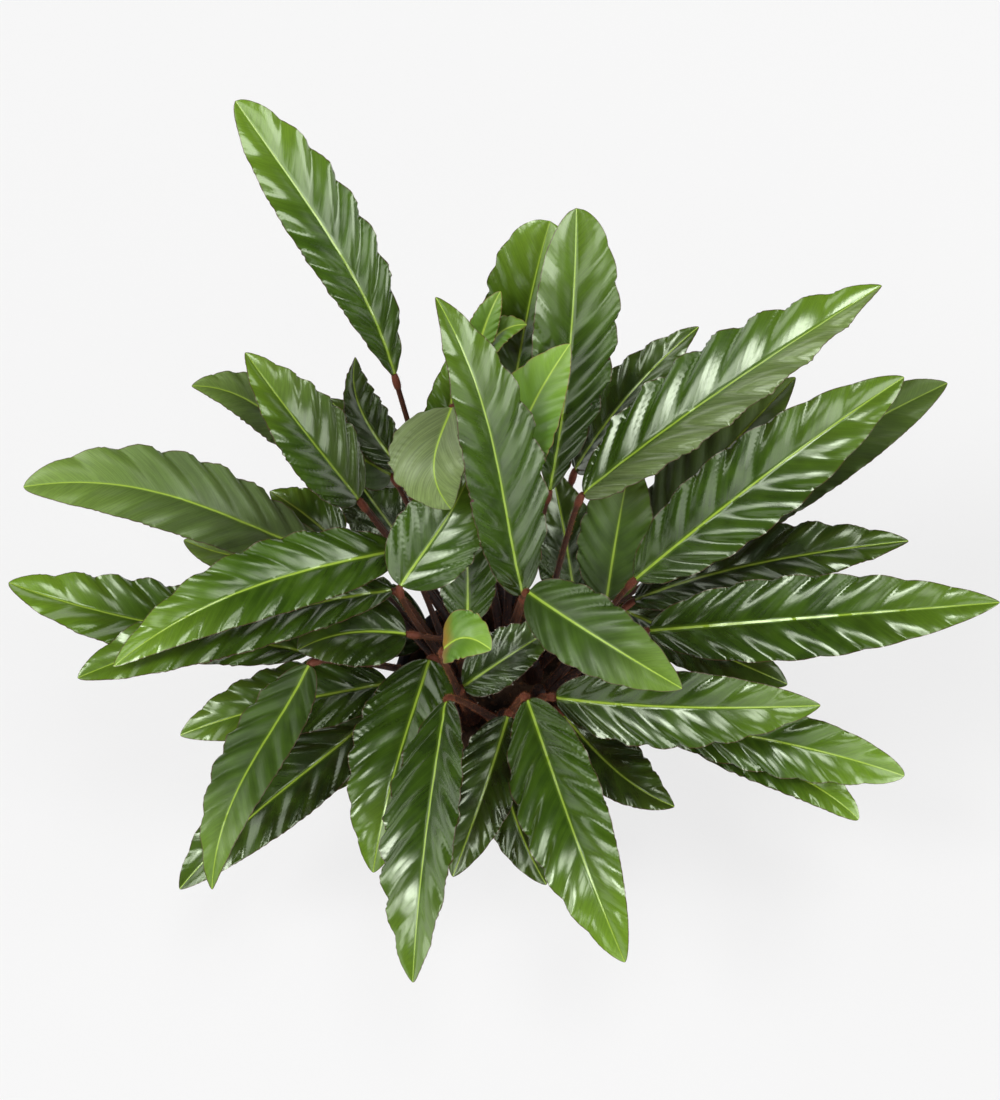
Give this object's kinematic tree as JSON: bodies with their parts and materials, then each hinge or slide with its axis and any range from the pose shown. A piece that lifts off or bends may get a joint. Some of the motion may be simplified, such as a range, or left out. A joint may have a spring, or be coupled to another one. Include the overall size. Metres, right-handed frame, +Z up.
{
  "type": "potted foliage plant",
  "caption": "Potted prayer plant with long pointed wavy-edged leaves on hairy brown stalks, in soil in a plain round nursery pot.",
  "frame": {"origin": "centre of the pot's flat underside, on the surface that it stands on", "axes": "+Z up along the pot's axis, +Y away from the viewer of the picture, +X to the viewer's right"},
  "size_m": [0.7349, 0.5385, 0.5618],
  "materials": {
    "pot": "charcoal moulded plastic, satin, with faint flow lines",
    "soil": "dark damp peat with bark crumbs and a few pale grains",
    "stem": "red-brown stalks with fine hairs and a rust-orange cushion below each blade",
    "leaf": "deep green, glossy and pleated between the veins, light green midrib, maroon underside",
    "young_leaf": "light yellow-green new blade, softer gloss, light green midrib"
  },
  "bodies": {
    "root": {"pot": "pot", "soil": "soil", "stems_rear_left": "stem", "stems_rear": "stem", "stems_rear_right": "stem", "stems_right": "stem", "stems_front": "stem", "stems_front_left": "stem", "stems_left": "stem", "leaf_01": "leaf", "leaf_02": "leaf", "leaf_03": "leaf", "leaf_04": "leaf", "leaf_05": "leaf", "leaf_06": "leaf", "leaf_07": "leaf", "leaf_08": "leaf", "leaf_09": "leaf", "leaf_10": "leaf", "leaf_11": "leaf", "leaf_12": "young_leaf", "leaf_13": "young_leaf", "leaf_14": "leaf", "leaf_15": "leaf", "leaf_16": "young_leaf", "leaf_17": "leaf", "leaf_19": "leaf", "leaf_20": "leaf", "leaf_21": "leaf", "leaf_22": "leaf", "leaf_23": "leaf", "leaf_24": "leaf", "leaf_25": "leaf", "leaf_26": "leaf", "leaf_27": "leaf", "leaf_28": "leaf", "leaf_29": "leaf", "leaf_30": "leaf", "leaf_31": "leaf", "leaf_32": "leaf", "leaf_33": "leaf", "leaf_34": "leaf", "leaf_35": "leaf", "leaf_36": "leaf", "leaf_37": "leaf", "leaf_38": "leaf", "leaf_40": "young_leaf", "leaf_41": "leaf", "leaf_42": "leaf", "leaf_43": "leaf", "leaf_44": "leaf", "leaf_45": "leaf", "leaf_46": "leaf", "leaf_47": "leaf", "leaf_48": "leaf", "leaf_49": "leaf", "leaf_51": "leaf", "leaf_53": "leaf", "leaf_54": "leaf", "leaf_55": "leaf"}
  },
  "joints": []
}
